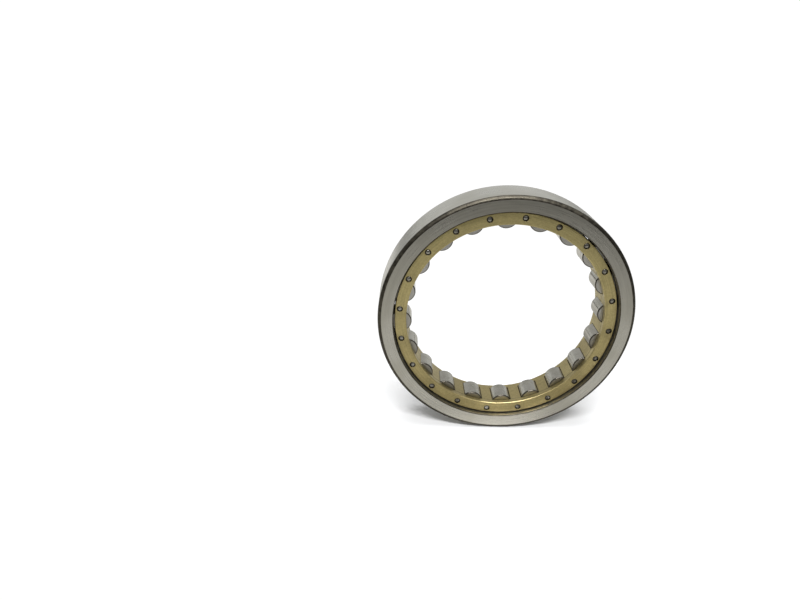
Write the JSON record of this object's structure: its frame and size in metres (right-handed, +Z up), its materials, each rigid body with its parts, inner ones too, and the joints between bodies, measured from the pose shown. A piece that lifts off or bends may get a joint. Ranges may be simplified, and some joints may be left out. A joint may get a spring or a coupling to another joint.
{
  "type": "cylindrical roller bearing",
  "caption": "Cylindrical roller bearing without its inner ring: ribbed steel outer ring, riveted machined brass cage and free-turning steel rollers around an open bore.",
  "frame": {"origin": "centre of the bearing, on its axis and midway between its two side faces", "axes": "+Y is the bearing axis, pointing from the face with the cage cover to the other face; +Z is up as the ring stands on its rim, and +X is to the right seen from the cover side"},
  "size_m": [0.125, 0.022, 0.125],
  "materials": {
    "ring_steel": "ground",
    "roller_steel": "fine ground",
    "cage_brass": "turned and milled, dull",
    "rivet_steel": "cold headed"
  },
  "bodies": {
    "ring": {"outer_ring": "ring_steel"},
    "cage": {"cage_body": "cage_brass", "cage_cover": "cage_brass", "cage_rivets": "rivet_steel"},
    "roller_01": {"roller_01": "roller_steel"},
    "roller_02": {"roller_02": "roller_steel"},
    "roller_03": {"roller_03": "roller_steel"},
    "roller_04": {"roller_04": "roller_steel"},
    "roller_05": {"roller_05": "roller_steel"},
    "roller_06": {"roller_06": "roller_steel"},
    "roller_07": {"roller_07": "roller_steel"},
    "roller_08": {"roller_08": "roller_steel"},
    "roller_09": {"roller_09": "roller_steel"},
    "roller_10": {"roller_10": "roller_steel"},
    "roller_11": {"roller_11": "roller_steel"},
    "roller_12": {"roller_12": "roller_steel"},
    "roller_13": {"roller_13": "roller_steel"},
    "roller_14": {"roller_14": "roller_steel"},
    "roller_15": {"roller_15": "roller_steel"},
    "roller_16": {"roller_16": "roller_steel"},
    "roller_17": {"roller_17": "roller_steel"},
    "roller_18": {"roller_18": "roller_steel"},
    "roller_19": {"roller_19": "roller_steel"},
    "roller_20": {"roller_20": "roller_steel"}
  },
  "joints": [
    {"name": "cage_spin", "type": "hinge", "parent": "ring", "child": "cage", "pos_m": [0, 0, 0], "axis": [0, 1, 0], "continuous": true},
    {"name": "roller_01_spin", "type": "hinge", "parent": "cage", "child": "roller_01", "pos_m": [-0.00241, 0, 0.05119], "axis": [0, 1, 0], "continuous": true},
    {"name": "roller_02_spin", "type": "hinge", "parent": "cage", "child": "roller_02", "pos_m": [-0.01812, 0, 0.04794], "axis": [0, 1, 0], "continuous": true},
    {"name": "roller_03_spin", "type": "hinge", "parent": "cage", "child": "roller_03", "pos_m": [-0.03204, 0, 0.04], "axis": [0, 1, 0], "continuous": true},
    {"name": "roller_04_spin", "type": "hinge", "parent": "cage", "child": "roller_04", "pos_m": [-0.04284, 0, 0.02814], "axis": [0, 1, 0], "continuous": true},
    {"name": "roller_05_spin", "type": "hinge", "parent": "cage", "child": "roller_05", "pos_m": [-0.04943, 0, 0.01352], "axis": [0, 1, 0], "continuous": true},
    {"name": "roller_06_spin", "type": "hinge", "parent": "cage", "child": "roller_06", "pos_m": [-0.05119, 0, -0.00241], "axis": [0, 1, 0], "continuous": true},
    {"name": "roller_07_spin", "type": "hinge", "parent": "cage", "child": "roller_07", "pos_m": [-0.04794, 0, -0.01812], "axis": [0, 1, 0], "continuous": true},
    {"name": "roller_08_spin", "type": "hinge", "parent": "cage", "child": "roller_08", "pos_m": [-0.04, 0, -0.03204], "axis": [0, 1, 0], "continuous": true},
    {"name": "roller_09_spin", "type": "hinge", "parent": "cage", "child": "roller_09", "pos_m": [-0.02814, 0, -0.04284], "axis": [0, 1, 0], "continuous": true},
    {"name": "roller_10_spin", "type": "hinge", "parent": "cage", "child": "roller_10", "pos_m": [-0.01352, 0, -0.04943], "axis": [0, 1, 0], "continuous": true},
    {"name": "roller_11_spin", "type": "hinge", "parent": "cage", "child": "roller_11", "pos_m": [0.00241, 0, -0.05119], "axis": [0, 1, 0], "continuous": true},
    {"name": "roller_12_spin", "type": "hinge", "parent": "cage", "child": "roller_12", "pos_m": [0.01812, 0, -0.04794], "axis": [0, 1, 0], "continuous": true},
    {"name": "roller_13_spin", "type": "hinge", "parent": "cage", "child": "roller_13", "pos_m": [0.03204, 0, -0.04], "axis": [0, 1, 0], "continuous": true},
    {"name": "roller_14_spin", "type": "hinge", "parent": "cage", "child": "roller_14", "pos_m": [0.04284, 0, -0.02814], "axis": [0, 1, 0], "continuous": true},
    {"name": "roller_15_spin", "type": "hinge", "parent": "cage", "child": "roller_15", "pos_m": [0.04943, 0, -0.01352], "axis": [0, 1, 0], "continuous": true},
    {"name": "roller_16_spin", "type": "hinge", "parent": "cage", "child": "roller_16", "pos_m": [0.05119, 0, 0.00241], "axis": [0, 1, 0], "continuous": true},
    {"name": "roller_17_spin", "type": "hinge", "parent": "cage", "child": "roller_17", "pos_m": [0.04794, 0, 0.01812], "axis": [0, 1, 0], "continuous": true},
    {"name": "roller_18_spin", "type": "hinge", "parent": "cage", "child": "roller_18", "pos_m": [0.04, 0, 0.03204], "axis": [0, 1, 0], "continuous": true},
    {"name": "roller_19_spin", "type": "hinge", "parent": "cage", "child": "roller_19", "pos_m": [0.02814, 0, 0.04284], "axis": [0, 1, 0], "continuous": true},
    {"name": "roller_20_spin", "type": "hinge", "parent": "cage", "child": "roller_20", "pos_m": [0.01352, 0, 0.04943], "axis": [0, 1, 0], "continuous": true}
  ],
  "couplings": [
    {"joint": "roller_01_spin", "follows": "cage_spin", "ratio": -10.318},
    {"joint": "roller_02_spin", "follows": "cage_spin", "ratio": -10.318},
    {"joint": "roller_03_spin", "follows": "cage_spin", "ratio": -10.318},
    {"joint": "roller_04_spin", "follows": "cage_spin", "ratio": -10.318},
    {"joint": "roller_05_spin", "follows": "cage_spin", "ratio": -10.318},
    {"joint": "roller_06_spin", "follows": "cage_spin", "ratio": -10.318},
    {"joint": "roller_07_spin", "follows": "cage_spin", "ratio": -10.318},
    {"joint": "roller_08_spin", "follows": "cage_spin", "ratio": -10.318},
    {"joint": "roller_09_spin", "follows": "cage_spin", "ratio": -10.318},
    {"joint": "roller_10_spin", "follows": "cage_spin", "ratio": -10.318},
    {"joint": "roller_11_spin", "follows": "cage_spin", "ratio": -10.318},
    {"joint": "roller_12_spin", "follows": "cage_spin", "ratio": -10.318},
    {"joint": "roller_13_spin", "follows": "cage_spin", "ratio": -10.318},
    {"joint": "roller_14_spin", "follows": "cage_spin", "ratio": -10.318},
    {"joint": "roller_15_spin", "follows": "cage_spin", "ratio": -10.318},
    {"joint": "roller_16_spin", "follows": "cage_spin", "ratio": -10.318},
    {"joint": "roller_17_spin", "follows": "cage_spin", "ratio": -10.318},
    {"joint": "roller_18_spin", "follows": "cage_spin", "ratio": -10.318},
    {"joint": "roller_19_spin", "follows": "cage_spin", "ratio": -10.318},
    {"joint": "roller_20_spin", "follows": "cage_spin", "ratio": -10.318}
  ]
}
